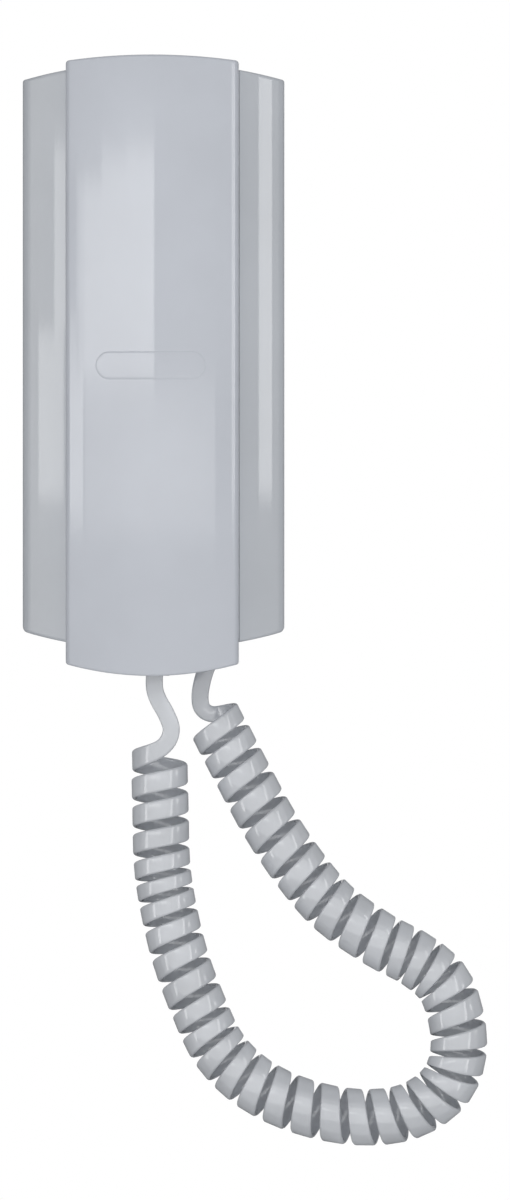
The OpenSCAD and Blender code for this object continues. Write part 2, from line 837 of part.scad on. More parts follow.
module ringer() {
    top = board_front + ringer_h;
    color(black) translate([ringer_x, 0, ringer_z]) difference() {
        post(0, 0, board_front, top, ringer_r);
        difference() {
            post(0, 0, top - ringer_groove, top + cut, ringer_r - ringer_rim);
            post(0, 0, board_front, top + 2 * cut, ringer_hub_r);
        }
        post(0, 0, top - ringer_hole_l, top + cut, ringer_hole_r);
    }
}

module audio_transformer() {
    color(black) translate([transformer_x, 0, transformer_z]) {
        block(-core_size[0] / 2, core_size[0] / 2,
            board_front + core_lift, board_front + core_lift + core_size[1],
            -core_size[2] / 2, core_size[2] / 2);
        block(-bobbin_size[0] / 2, bobbin_size[0] / 2, board_front, board_front + bobbin_size[1],
            -bobbin_size[2] / 2, bobbin_size[2] / 2);
    }
}

module capacitors() {
    color(black)
        for (place = capacitor_places)
            post(place[0], place[1], board_front, board_front + place[3], place[2]);
}

// Hook lever: a hub on the pin, an arm and a nose that stands in the channel's slot
module hook_lever() {
    nose_r = nose_l / 2;
    color(shell_grey) difference() {
        union() {
            crossbar(hook_depth, hook_z, -hub_half, hub_half, hub_r);
            block(-hook_w / 2, hook_w / 2, hook_back, hook_back + hook_t, hook_z, nose_z + nose_r);
            block(-hook_w / 2, hook_w / 2, hook_depth, nose_tip - nose_r, nose_z - nose_r, nose_z + nose_r);
            crossbar(nose_tip - nose_r, nose_z, -hook_w / 2, hook_w / 2, nose_r);
        }
        crossbar(hook_depth, hook_z, -hub_half - cut, hub_half + cut, pin_d / 2 + pin_gap);
    }
}

module hook_pin() {
    color(steel) crossbar(hook_depth, hook_z, -lug_inner - lug_t, lug_inner + lug_t, pin_d / 2);
}

module hook_spring() {
    color(steel)
        spring(0, hook_spring_z, spring_seat_depth + spring_gap, hook_back - move_gap,
            hook_spring_r, hook_spring_wire, hook_spring_turns);
}

// Release button: a dished cap, a flange under the channel and a stem
module release_button() {
    color(handset_grey) difference() {
        union() {
            post(0, button_z, flange_back, button_top, button_r);
            post(0, button_z, flange_back, flange_front, flange_r);
            post(0, button_z, stem_end, flange_back, stem_r);
        }
        translate([0, -button_top - button_dish_r + button_dish, button_z]) sphere(button_dish_r);
    }
}

module release_plunger() {
    color(steel) post(0, button_z, release_plunger_end, stem_end, release_plunger_r);
}

module button_spring() {
    color(steel)
        spring(0, button_z, release_switch_top + spring_gap, flange_back - move_gap,
            button_spring_r, button_spring_wire, button_spring_turns);
}

// Grommet of the base's lead, whose flange lies on the bottom wall from inside
module base_cord_grommet() {
    top = base_wall + grommet_flange_t - base_bottom + grommet_rise;
    color(rubber_grey) {
        grommet_stem(base_lead_x, base_lead_depth, 0, base_lead_z, top);
        intersection() {
            grommet_flange(base_lead_x, base_lead_depth, base_lead_z, top);
            base_body(base_wall, 0);
        }
    }
}

// Handset cover: the convex shell, the screw posts and the three pegs that hold the earpiece
module handset_cover() {
    color(handset_grey) difference() {
        union() {
            difference() {
                handset_body(0, split_depth);
                handset_body(handset_wall, split_depth - cut);
            }
            intersection() {
                handset_body(handset_wall / 2, split_depth);
                union() {
                    at_handset_screws()
                        post(0, 0, split_depth, face_depth + handset_crown, post_r);
                    for (turn = [90 : 120 : 330])
                        post(clamp_ring * cos(turn), ear_z + clamp_ring * sin(turn),
                            capsule_back, face_depth + handset_crown, clamp_r);
                }
            }
        }
        at_handset_screws()
            post(0, 0, split_depth - cut, face_depth + screw_head_h + screw_l, screw_r);
        grommet_stem(handset_lead_x, handset_lead_depth, grommet_gap,
            -handset_bottom - cut, cut - handset_bottom + handset_wall);
    }
}

// Handset back: flat plate, cups with sound holes, finger scoop and locating lip
module handset_back() {
    lip_inset = handset_wall + lip_gap;
    color(handset_grey) difference() {
        union() {
            along_depth(face_depth, split_depth) handset_outline(0);
            difference() {
                along_depth(split_depth, split_depth + lip_h) handset_outline(lip_inset);
                along_depth(split_depth, split_depth + lip_h + cut) handset_outline(lip_inset + lip_t);
            }
            cone(0, ear_z, face_depth - ear_reach, face_depth, ear_tip_r, ear_face_r);
            cone(0, mouth_z, face_depth - mouth_reach, face_depth, mouth_tip_r, mouth_face_r);
            along_depth(face_depth, face_depth + scoop_depth + tray_wall)
                rounded_sheet(scoop_w + 2 * tray_wall, scoop_bottom - tray_wall, scoop_top + tray_wall,
                    tray_corner);
        }
        along_depth(face_depth - cut, face_depth + scoop_depth)
            rounded_sheet(scoop_w, scoop_bottom, scoop_top, tray_corner - tray_wall);
        cone(0, ear_z, capsule_floor, split_depth + cut, ear_tip_r - cup_wall, ear_face_r - cup_wall);
        difference() {
            cone(0, mouth_z, mic_floor, split_depth + cut, mouth_tip_r - cup_wall, mouth_face_r - cup_wall);
            difference() {
                post(0, mouth_z, mic_floor - cut, mic_floor + mic_ring_h,
                    mic_r + boot_wall + mic_ring_wall);
                post(0, mouth_z, mic_floor, mic_floor + mic_ring_h + cut, mic_r + boot_wall);
            }
        }
        post(0, ear_z, face_depth - ear_reach - cut, capsule_floor + cut, ear_hole_d / 2);
        for (ring = [1, 2], i = [0 : 6 * ring - 1])
            let (turn = 60 * i / ring)
                post(sound_ring * ring * cos(turn), ear_z + sound_ring * ring * sin(turn),
                    face_depth - ear_reach - cut, capsule_floor + cut, ear_hole_d / 2);
        for (i = [-1, 0, 1])
            post(i * mic_hole_pitch, mouth_z, face_depth - mouth_reach - cut, mic_floor + cut, mic_hole_r);
        at_handset_screws() {
            post(0, 0, face_depth - cut, face_depth + screw_head_h, screw_head_r + screw_head_gap);
            post(0, 0, face_depth - cut, split_depth + cut, screw_r + screw_gap);
        }
    }
}

// A screw from the handset's flat face into the cover's post
module handset_screws() {
    seat = face_depth + screw_head_h;
    color(steel) at_handset_screws() mirror([0, 1, 0])
        translate([0, 2 * seat, 0]) pan_screw(seat, screw_l - screw_end_gap);
}

module ear_capsule() {
    color(black) {
        post(0, ear_z, capsule_floor + gasket_t, capsule_back, capsule_r);
        post(0, ear_z, capsule_back, capsule_back + magnet_h, magnet_r);
    }
}

module ear_gasket() {
    color(rubber_grey) difference() {
        post(0, ear_z, capsule_floor, capsule_floor + gasket_t, capsule_r);
        post(0, ear_z, capsule_floor - cut, capsule_floor + gasket_t + cut, capsule_r - gasket_w);
    }
}

module microphone() {
    color(steel) post(0, mouth_z, mic_floor + boot_floor, mic_floor + boot_floor + mic_h, mic_r);
}

// Rubber boot round the microphone, open at the sound holes
module microphone_boot() {
    color(black) difference() {
        post(0, mouth_z, mic_floor, mic_floor + boot_floor + mic_h, mic_r + boot_wall);
        post(0, mouth_z, mic_floor + boot_floor, mic_floor + boot_floor + mic_h + cut, mic_r);
        post(0, mouth_z, mic_floor - cut, mic_floor + boot_floor + cut, mic_r - boot_lip);
    }
}

// Grommet of the handset's lead, whose flange lies on the bottom wall from inside
module handset_cord_grommet() {
    top = handset_wall + grommet_flange_t - handset_bottom;
    color(rubber_grey) {
        grommet_stem(handset_lead_x, handset_lead_depth, 0, -handset_bottom, top);
        intersection() {
            grommet_flange(handset_lead_x, handset_lead_depth, -handset_bottom, top);
            handset_body(handset_wall, split_depth);
        }
    }
}

// Flat cord: a plain lead from the handset, the coil and a plain lead to the base, in one piece
module curly_cord() {
    echo(least_gap_of_cord = least_gap(cord_rings, gap_from, gap_to));
    color(cord_grey) skin(cord_rings);
}

rear_plate();
front_housing();
housing_screw();
circuit_board();
board_screws();
terminal_block();
terminal_screws();
hook_switch();
hook_plunger();
release_switch();
ringer();
audio_transformer();
capacitors();
hook_lever();
hook_pin();
hook_spring();
release_button();
release_plunger();
button_spring();
base_cord_grommet();
handset_cover();
handset_back();
handset_screws();
ear_capsule();
ear_gasket();
microphone();
microphone_boot();
handset_cord_grommet();
curly_cord();
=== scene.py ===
"""Looks of a wall intercom: moulded shells, a bar handset, a flat curly cord and the parts inside."""

import json
import math
from collections import namedtuple

import bmesh
import bpy
import numpy as np
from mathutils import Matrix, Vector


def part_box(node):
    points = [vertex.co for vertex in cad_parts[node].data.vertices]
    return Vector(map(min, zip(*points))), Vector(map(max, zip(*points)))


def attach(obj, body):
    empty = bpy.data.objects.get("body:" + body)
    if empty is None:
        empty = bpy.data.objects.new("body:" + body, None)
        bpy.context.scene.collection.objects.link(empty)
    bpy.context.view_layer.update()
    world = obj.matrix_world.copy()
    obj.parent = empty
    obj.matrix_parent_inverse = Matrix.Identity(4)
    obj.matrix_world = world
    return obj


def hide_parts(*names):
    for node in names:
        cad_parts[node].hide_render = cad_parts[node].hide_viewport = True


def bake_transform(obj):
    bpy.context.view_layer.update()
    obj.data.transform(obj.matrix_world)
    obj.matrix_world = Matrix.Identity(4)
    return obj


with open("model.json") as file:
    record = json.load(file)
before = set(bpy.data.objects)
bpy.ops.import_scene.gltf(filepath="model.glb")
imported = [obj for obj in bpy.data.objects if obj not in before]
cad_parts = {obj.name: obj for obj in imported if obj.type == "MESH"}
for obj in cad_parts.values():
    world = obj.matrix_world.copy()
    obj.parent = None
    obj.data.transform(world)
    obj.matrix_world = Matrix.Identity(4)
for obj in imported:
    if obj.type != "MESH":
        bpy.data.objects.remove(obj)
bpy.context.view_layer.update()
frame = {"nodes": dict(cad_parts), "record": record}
nodes = frame["nodes"]
MM = 0.001


# Camera: level, a touch from the right, with a long lens. The photograph is 1200 pixels high, of a third of a
# millimetre each.

PHOTO_HEIGHT = 400.0
AIM_X = 34.0
AIM_Z = -81.17
AIM_DEPTH = 24.0
CAMERA_AWAY = 8000.0
CAMERA_TURN = math.radians(1.0)
SENSOR = 36.0
# Nearest and farthest distance that the camera sees, in metres
CLIP = (0.05, 50.0)


def make_camera():
    data = bpy.data.cameras.new("camera")
    data.sensor_fit = "VERTICAL"
    data.sensor_height = SENSOR
    data.lens = SENSOR * CAMERA_AWAY / PHOTO_HEIGHT
    data.clip_start, data.clip_end = CLIP
    camera = bpy.data.objects.new("camera", data)
    across = AIM_X + CAMERA_AWAY * math.sin(CAMERA_TURN)
    away = AIM_DEPTH + CAMERA_AWAY * math.cos(CAMERA_TURN)
    camera.location = (across * MM, -away * MM, AIM_Z * MM)
    camera.rotation_euler = (math.pi / 2, 0, CAMERA_TURN)
    bpy.context.scene.collection.objects.link(camera)
    bpy.context.scene.camera = camera


# Cord: a flat ribbon wound into a coil along a bent line. Its route and its outside are those of the part's
# source, in millimetres; the coil is thicker inwards, with rounder edges.

HANDSET_BOTTOM = 106.4
BASE_BOTTOM = 98.0
COIL_ROUTE = [
    (1.5, 6.6), (2, 25.6), (2.5, 44.6), (3, 62.6), (5, 76.6), (9, 93.6), (15.5, 111.1),
    (22.5, 125.1), (34, 136.1), (50, 143.6), (68.5, 147.1), (85.5, 145.1), (98, 136.1),
    (102, 122.1), (98, 104.6), (88.5, 95.1), (75.5, 88.1), (60.5, 77.6), (49.5, 65.1),
    (39, 49.6), (30, 33.1), (22, 17.6), (14.5, 2.6), (7, -12.4),
]
COIL_START = 0.06
COIL_END = 40.45
COIL_R = 8.55
COIL_FILL = 0.72
COIL_DEPTH = 24.0
CORD_T = 1.8
LEAD_W = 5.7
LEAD_T = 1.3
LEAD_R = 8.7
HANDSET_LEAD_X = 0.7
BASE_LEAD_X = 18.5
# How far each lead reaches into its piece
HANDSET_TUCK = 1.5
BASE_TUCK = 0.4
HANDSET_LEAD_Z = HANDSET_TUCK - HANDSET_BOTTOM
BASE_LEAD_Z = BASE_TUCK - BASE_BOTTOM
HANDSET_LEAD = [(0.7, 4.1), (2, 8.1), (4.5, 12.6), (6.3, 17.6), (5.3, 22.1), (2.6, 25)]
BASE_LEAD = [(20.2, 13.4), (17.8, 12.6), (16, 10.6), (15.5, 7.1), (16, 3.1), (17.2, -1.4)]
LEAD_STRAIGHT = 3.9
LEAD_TAIL = 4.0
# Steps along the coil and the leads over which a direction is taken, and the step between the two points of
# the coil that a lead runs into
COIL_LOOK = 0.05
LEAD_LOOK = 0.02
JOIN_LOOK = 0.06
RINGS_PER_TURN = 40
RINGS_PER_LEAD_STEP = 4
# The ribbon's rounded section: points round each end, and the share of the width that each end takes
END_POINTS = 7
END_SHARE = 0.12
# Rings on either side of a joint between lead and coil that are smoothed, and how often
JOIN_RINGS = 12
JOIN_PASSES = 24


def curve(points, t):
    """A point of a smooth curve through a list of points, at a place counted in points."""
    i = min(max(int(math.floor(t)), 1), len(points) - 3)
    f = t - i
    a, b, c, d = (np.array(points[i + k], float) for k in (-1, 0, 1, 2))
    return b + (c - a) * f / 2 + (2 * a - 5 * b + 4 * c - d) * f * f / 2 + (3 * b - a - 3 * c + d) * f**3 / 2


def unit(v):
    return v / np.linalg.norm(v)


def hung(point):
    """A point of a route, X and the drop below the handset, as X and Z."""
    return np.array([point[0], -HANDSET_BOTTOM - point[1]])


def coil_middle(turn):
    return hung(curve(COIL_ROUTE, turn / 2 + 1))


def coil_point(turn, along, out):
    """A point of the coil: along is in turns, out in millimetres from the middle of the cord."""
    place = turn + along
    middle = coil_middle(place)
    direction = unit(coil_middle(place + COIL_LOOK) - coil_middle(place - COIL_LOOK))
    reach = COIL_R + out
    across = reach * math.sin(math.tau * turn)
    depth = COIL_DEPTH + reach * math.cos(math.tau * turn)
    return np.array([middle[0] + across * direction[1], -depth, middle[1] - across * direction[0]])


def ribbon_section():
    """The flat cord's section: shares of its width and of its thickness, once round."""
    section = []
    for side in (1, -1):
        for k in range(END_POINTS):
            angle = math.pi * (k / (END_POINTS - 1) - 0.5)
            width = side * (0.5 - END_SHARE + END_SHARE * math.cos(angle))
            section.append((width, -side * math.sin(angle) / 2))
    return section


def coil_ring(turn, section):
    return [coil_point(turn, w * COIL_FILL, t * CORD_T) for w, t in section]


def lead_ring(points, t, share, face, coil_w, section):
    """A ring of a plain lead. The share says how far it has become the coil, whose width there is given; face
    is 1 where the cord's outer face looks away from the wall, and else -1."""
    width = LEAD_W + (coil_w - LEAD_W) * share
    thickness = LEAD_T + (CORD_T - LEAD_T) * share
    depth = COIL_DEPTH + face * (LEAD_R + (COIL_R - LEAD_R) * share)
    place = curve(points, t)
    direction = unit(curve(points, t + LEAD_LOOK) - curve(points, t - LEAD_LOOK))
    ring = []
    for w, thick in section:
        across = -face * w * width
        ring.append(np.array([
            place[0] + across * direction[1],
            -depth - face * thick * thickness,
            place[1] - across * direction[0],
        ]))
    return ring


def flat(point):
    return np.array([point[0], point[2]])


def cord_rings(section):
    """All the cord's rings from the handset to the base, and the rings' numbers where lead meets coil."""
    first = [flat(coil_point(COIL_START + k * JOIN_LOOK, 0, 0)) for k in (0, 1)]
    last = [flat(coil_point(COIL_END - k * JOIN_LOOK, 0, 0)) for k in (1, 0)]
    handset_points = [np.array([HANDSET_LEAD_X, HANDSET_LEAD_Z + lift]) for lift in (LEAD_TAIL, 0)]
    handset_points += [hung(p) for p in HANDSET_LEAD] + first
    base_points = last + [hung(p) for p in BASE_LEAD]
    base_points += [np.array([BASE_LEAD_X, BASE_LEAD_Z + lift]) for lift in (-LEAD_STRAIGHT, 0, LEAD_TAIL)]
    coil_w = COIL_FILL * np.linalg.norm(coil_middle(1) - coil_middle(0))
    rings = []
    steps = (len(handset_points) - 3) * RINGS_PER_LEAD_STEP
    for i in range(steps - 1):
        share = max(0.0, 2 * i / steps - 1) ** 2
        rings.append(lead_ring(handset_points, 1 + i / RINGS_PER_LEAD_STEP, share, 1, coil_w, section))
    joints = [len(rings)]
    turns = int((COIL_END - COIL_START) * RINGS_PER_TURN)
    for i in range(turns + 1):
        rings.append(coil_ring(COIL_START + i / RINGS_PER_TURN, section))
    joints.append(len(rings))
    coil_w = COIL_FILL * np.linalg.norm(coil_middle(COIL_END) - coil_middle(COIL_END - 1))
    steps = (len(base_points) - 3) * RINGS_PER_LEAD_STEP
    for i in range(2, steps + 1):
        share = max(0.0, 1 - 2 * i / steps) ** 2
        rings.append(lead_ring(base_points, 1 + i / RINGS_PER_LEAD_STEP, share, -1, coil_w, section))
    return np.array(rings), joints


def smooth_joints(rings, joints):
    """Rounds the turn from lead to coil by averaging each ring near a joint with its neighbours."""
    span = np.arange(-JOIN_RINGS, JOIN_RINGS + 1)
    strength = (np.cos(math.pi * span / (2 * JOIN_RINGS)) ** 2)[:, None, None] / 2
    for joint in joints:
        near = joint + span
        for _ in range(JOIN_PASSES):
            middle = (rings[near - 1] + rings[near + 1]) / 2
            rings[near] += strength * (middle - rings[near])
    return rings


def strip_faces(a, b, leave=()):
    """Faces between two closed rings of point numbers, apart from the places that are left out."""
    size = len(a)
    return [(a[k], a[(k + 1) % size], b[(k + 1) % size], b[k]) for k in range(size) if k not in leave]


def wall_faces(rings):
    faces = []
    for a, b in zip(rings, rings[1:]):
        faces += strip_faces(a, b)
    return faces


def ring_numbers(count, sides, first=0):
    """Point numbers of rings that follow one another."""
    return [range(first + i * sides, first + (i + 1) * sides) for i in range(count)]


def ring_faces(count, sides):
    """Faces of a closed skin over rings: the walls and the two end caps."""
    rings = ring_numbers(count, sides)
    return wall_faces(rings) + [tuple(rings[0])[::-1], tuple(rings[-1])]


def make_mesh(name, points, faces, smooth=True):
    mesh = bpy.data.meshes.new(name)
    mesh.from_pydata([tuple(p) for p in points], [], faces)
    mesh.validate()
    mesh.update()
    mesh.polygons.foreach_set("use_smooth", [smooth] * len(mesh.polygons))
    piece = bpy.data.objects.new(name, mesh)
    bpy.context.scene.collection.objects.link(piece)
    return piece


def make_cord(material):
    section = ribbon_section()
    rings = smooth_joints(*cord_rings(section)) * MM
    count, sides = rings.shape[:2]
    faces = ring_faces(count, sides)
    piece = make_mesh("flat_curly_cord", rings.reshape(-1, 3), faces)
    piece.data.materials.append(material)
    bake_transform(piece)
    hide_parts("curly_cord")


# Convex shells: the forms of the part's source, with their end edges rounded too, as a mould rounds them

Form = namedtuple(
    "Form", "half top top_r top_corner bottom bottom_r bottom_corner side front_r edge_r back"
)
HANDSET = Form(
    half=28.8, top=100.2, top_r=218.0, top_corner=1.2,
    bottom=HANDSET_BOTTOM, bottom_r=108.0, bottom_corner=1.2,
    side=14.0, front_r=58.0, edge_r=3.6, back=24.4,
)
BASE = Form(
    half=43.75, top=98.0, top_r=170.0, top_corner=1.0,
    bottom=BASE_BOTTOM, bottom_r=156.0, bottom_corner=2.5,
    side=18.0, front_r=62.0, edge_r=4.0, back=0.0,
)
WALL = 2.0
LEAST_CORNER = 0.3
# Rounding of the end edges
END_EDGE = 0.9
# Width of the first row of faces beside a rounded end, which keeps the long rows flat
END_FLAT = 0.1
# Steps of the mesh across the front, round an edge, round an end edge and along the front
FRONT_STEPS = 41
EDGE_STEPS = 13
END_STEPS = 8
ROW_STEPS = 30


def arch_height(x, half, crown, r, corner):
    """Height of an arch over a place across it: a wide arc with a rounded corner at each end."""
    corner_x = half - corner
    centre = crown - r
    corner_centre = centre + math.sqrt((r - corner) ** 2 - corner_x**2)
    across = np.abs(x)
    arc = centre + np.sqrt(r * r - across * across)
    rounded = corner_centre + np.sqrt(np.clip(corner**2 - (across - corner_x) ** 2, 0, None))
    return np.where(across < corner_x * r / (r - corner), arc, rounded)


def form_arch(form, x, inset, crown, r, corner):
    return arch_height(x, form.half - inset, crown - inset, r - inset, max(corner - inset, LEAST_CORNER))


def front_depth(form, x, inset=0.0):
    crown = form.side + form.front_r - math.sqrt(form.front_r**2 - form.half**2)
    return form.back + form_arch(form, x, inset, crown, form.front_r, form.edge_r)


def shell_columns(form, more=()):
    """Places across a form: close together on the rounded edges, and any more that are asked for."""
    corner_x = form.half - form.edge_r
    start = corner_x * form.front_r / (form.front_r - form.edge_r)
    turn = math.asin((start - corner_x) / form.edge_r)
    edge = corner_x + form.edge_r * np.sin(np.linspace(turn, math.pi / 2, EDGE_STEPS))
    middle = np.linspace(-start, start, FRONT_STEPS)[1:-1]
    return np.sort(np.concatenate([-edge, middle, edge, more]))


def inset_columns(form, columns, inset):
    """Places across a form, drawn in near its sides by an inset."""
    fixed = form.half - 2 * WALL
    reach = np.interp(np.abs(columns), [0, fixed, form.half], [0, fixed, form.half - inset])
    return np.sign(columns) * reach


def shell_grid(form, x, front, inset):
    """Points of a form in rows from bottom to top, over places across it and their depths."""
    low = -form_arch(form, x, inset, form.bottom, form.bottom_r, form.bottom_corner)
    high = form_arch(form, x, inset, form.top, form.top_r, form.top_corner)
    turns = np.linspace(0, math.pi / 2, END_STEPS)
    ends = [(END_EDGE * (1 - math.cos(t)), END_EDGE * (1 - math.sin(t))) for t in turns]
    rows = [(low + away, front - drop) for away, drop in ends]
    first = low + END_EDGE + END_FLAT
    last = high - END_EDGE - END_FLAT
    rows += [(first + share * (last - first), front) for share in np.linspace(0, 1, ROW_STEPS)]
    rows += [(high - away, front - drop) for away, drop in reversed(ends)]
    return np.array([np.column_stack([x, -depth, z]) for z, depth in rows])


def front_grid(form, columns, inset):
    x = inset_columns(form, columns, inset)
    return shell_grid(form, x, front_depth(form, x, inset), inset)


def border(rows, columns):
    """Numbers of a grid's border points, once round from the lower left corner."""
    bottom = list(range(columns))
    right = [j * columns + columns - 1 for j in range(1, rows)]
    top = [(rows - 1) * columns + i for i in range(columns - 2, -1, -1)]
    left = [j * columns for j in range(rows - 2, 0, -1)]
    return bottom + right + top + left


def grid_faces(rows, columns, first):
    faces = []
    for j in range(rows - 1):
        for i in range(columns - 1):
            a = first + j * columns + i
            faces.append((a, a + 1, a + columns + 1, a + columns))
    return faces


def at_depth(points, depth):
    moved = points.copy()
    moved[:, 1] = -depth
    return moved


# Handset cover: its depth at the split, the rounding of its rim there, and the slot for the cord's grommet
SPLIT_DEPTH = 27.0
RIM_EDGE = 0.25
SLOT_X = (-4.25, 5.65)
SLOT_DEPTH = (30.45, 34.95)


def handset_shell_mesh():
    """Points and faces of the cover: its front, its walls down to the split, the rim and the inside."""
    columns = shell_columns(HANDSET, SLOT_X)
    outer = front_grid(HANDSET, columns, 0.0)
    inner = front_grid(HANDSET, columns, WALL)
    rows, across = outer.shape[:2]
    loop = border(rows, across)
    outside = outer.reshape(-1, 3)[loop]
    inside = inner.reshape(-1, 3)[loop]
    rim = front_grid(HANDSET, columns, RIM_EDGE).reshape(-1, 3)[loop]
    walls = [at_depth(outside, depth) for depth in (SLOT_DEPTH[1], SLOT_DEPTH[0], SPLIT_DEPTH + RIM_EDGE)]
    walls += [at_depth(rim, SPLIT_DEPTH), at_depth(inside, SPLIT_DEPTH)]
    walls += [at_depth(inside, depth) for depth in SLOT_DEPTH]
    points = np.concatenate([outer.reshape(-1, 3), inner.reshape(-1, 3)] + walls)
    grid_size = rows * across
    size = len(loop)
    rings = [np.array(loop)]
    rings += ring_numbers(len(walls), size, 2 * grid_size)
    rings.append(grid_size + np.array(loop))
    faces = grid_faces(rows, across, 0) + grid_faces(rows, across, grid_size)
    slot = range(int(np.searchsorted(columns, SLOT_X[0])), int(np.searchsorted(columns, SLOT_X[1])))
    # The slot's strips of wall, outside and inside, between the rings at its two depths
    slot_strips = (1, len(rings) - 3)
    for strip, (a, b) in enumerate(zip(rings, rings[1:])):
        faces += strip_faces(a, b, slot if strip in slot_strips else ())
    out_front, out_back = rings[1], rings[2]
    in_back, in_front = rings[-3], rings[-2]
    for a, b in ((out_front, in_front), (out_back, in_back)):
        faces += [(a[k], a[k + 1], b[k + 1], b[k]) for k in slot]
    faces += [(out_front[k], out_back[k], in_back[k], in_front[k]) for k in (slot[0], slot[-1] + 1)]
    return points, [tuple(int(i) for i in face) for face in faces]


SHARP_ANGLE = math.radians(35)


def even_normals(piece):
    """Turns all faces of a closed mesh outwards and marks its sharp edges."""
    work = bmesh.new()
    work.from_mesh(piece.data)
    bmesh.ops.recalc_face_normals(work, faces=work.faces)
    work.to_mesh(piece.data)
    work.free()
    piece.data.set_sharp_from_angle(angle=SHARP_ANGLE)


def make_handset_shell(material):
    points, faces = handset_shell_mesh()
    piece = make_mesh("handset_shell", points * MM, faces)
    even_normals(piece)
    piece.data.materials.append(material)
    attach(piece, "handset")
    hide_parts("handset_cover")


# Base housing: the solid's own pockets, holes and inside, within an envelope that rounds its edges and draws
# the channel's walls close to the handset

# How far the envelope lies inside the solid's faces, and its depth behind the rim
ENVELOPE_INSET = 0.1
ENVELOPE_BACK = -2.0
# The channel: half its width, how far its walls lean in down to the floor, its depth and the rounding of its
# edges. The lean keeps any two border points of the envelope apart.
CHANNEL_HALF = 28.86
CHANNEL_DRAFT = 0.02
CHANNEL_DEPTH = 24.02
CHANNEL_EDGE = 0.12
CHANNEL_EDGE_STEPS = 10
# Strips that fill the solid's wider channel up to the envelope: two X, two depths and two heights
STRIP_X = (28.5, 30.0)
STRIP_DEPTH = (23.5, 40.0)
STRIP_Z = (-110.0, 110.0)
WELD_GAP = 1e-7
# The least turn between two faces of the base that shows as an edge
BASE_SHARP = math.radians(18)
# How squarely a face looks ahead if its gloss is to stay flat
FLAT_FRONT = 0.9999


def wing_profile():
    """Places and depths across the right half of the base, from the channel's floor to the side."""
    middle = CHANNEL_HALF + CHANNEL_EDGE
    inset = ENVELOPE_INSET + CHANNEL_EDGE
    lean = math.asin(middle / (BASE.front_r - inset))
    turns = np.linspace(-math.pi / 2, lean, CHANNEL_EDGE_STEPS)
    edge_x = middle + CHANNEL_EDGE * np.sin(turns)
    edge_depth = front_depth(BASE, middle, inset) + CHANNEL_EDGE * np.cos(turns)
    columns = inset_columns(BASE, shell_columns(BASE), ENVELOPE_INSET)
    start = edge_x[-1] + CHANNEL_EDGE
    wing_x = np.concatenate([[start], columns[columns > start + CHANNEL_EDGE]])
    x = np.concatenate([[CHANNEL_HALF - CHANNEL_DRAFT], edge_x, wing_x])
    depth = np.concatenate([[CHANNEL_DEPTH], edge_depth, front_depth(BASE, wing_x, ENVELOPE_INSET)])
    return x, depth


def envelope_mesh():
    wing_x, wing_depth = wing_profile()
    floor_x = np.linspace(-CHANNEL_HALF, CHANNEL_HALF, FRONT_STEPS)[1:-1]
    x = np.concatenate([-wing_x[::-1], floor_x, wing_x])
    depth = np.concatenate([wing_depth[::-1], np.full(len(floor_x), CHANNEL_DEPTH), wing_depth])
    grid = shell_grid(BASE, x, depth, ENVELOPE_INSET)
    rows, across = grid.shape[:2]
    points = grid.reshape(-1, 3)
    loop = border(rows, across)
    edge = points[loop]
    walls = [edge + [0, END_FLAT, 0], at_depth(edge, ENVELOPE_BACK)]
    rings = [loop] + ring_numbers(len(walls), len(loop), len(points))
    faces = grid_faces(rows, across, 0) + [tuple(rings[-1])] + wall_faces(rings)
    return np.concatenate([points] + walls), faces


BOX_FACES = [(0, 1, 3, 2), (4, 6, 7, 5), (0, 4, 5, 1), (2, 3, 7, 6), (0, 2, 6, 4), (1, 5, 7, 3)]


def strip_mesh():
    points = []
    faces = []
    for side in (-1, 1):
        faces += [tuple(len(points) + k for k in face) for face in BOX_FACES]
        points += [(side * x, -d, z) for x in STRIP_X for d in STRIP_DEPTH for z in STRIP_Z]
    return np.array(points), faces


def welded_solid(node):
    """A copy of a node's mesh with its faces joined."""
    work = bmesh.new()
    work.from_mesh(nodes[node].data)
    bmesh.ops.remove_doubles(work, verts=work.verts, dist=WELD_GAP)
    mesh = bpy.data.meshes.new(node)
    work.to_mesh(mesh)
    work.free()
    return mesh


def apply_modifiers(piece):
    shaped = piece.evaluated_get(bpy.context.evaluated_depsgraph_get())
    piece.data = bpy.data.meshes.new_from_object(shaped)
    piece.modifiers.clear()


def flatten_fronts(mesh):
    """Gives faces that look straight ahead, such as the channel's floor, flat normals up to their borders."""
    corners = np.array([corner.vector for corner in mesh.corner_normals])
    for face in mesh.polygons:
        if face.normal.y < -FLAT_FRONT:
            corners[list(face.loop_indices)] = face.normal
    mesh.normals_split_custom_set(corners)


def make_base_shell(material):
    piece = bpy.data.objects.new("base_shell", welded_solid("front_housing"))
    bpy.context.scene.collection.objects.link(piece)
    tools = []
    for operation, (points, faces) in (("UNION", strip_mesh()), ("INTERSECT", envelope_mesh())):
        tool = make_mesh("tool", points * MM, faces)
        even_normals(tool)
        step = piece.modifiers.new(operation, "BOOLEAN")
        step.operation = operation
        step.solver = "EXACT"
        step.object = tool
        tools.append(tool)
    apply_modifiers(piece)
    for tool in tools:
        bpy.data.objects.remove(tool)
    piece.data.polygons.foreach_set("use_smooth", [True] * len(piece.data.polygons))
    piece.data.set_sharp_from_angle(angle=BASE_SHARP)
    flatten_fronts(piece.data)
    piece.data.materials.clear()
    piece.data.materials.append(material)
    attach(piece, "base")
    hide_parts("front_housing")


# Springs: each node's moving body and its wire's thickness in millimetres

SPRINGS = {"hook_spring": ("hook", 0.5), "button_spring": ("button", 0.45)}
SPRING_TURNS = 5
# Turns at each end that lie close together
CLOSED_TURNS = 0.75
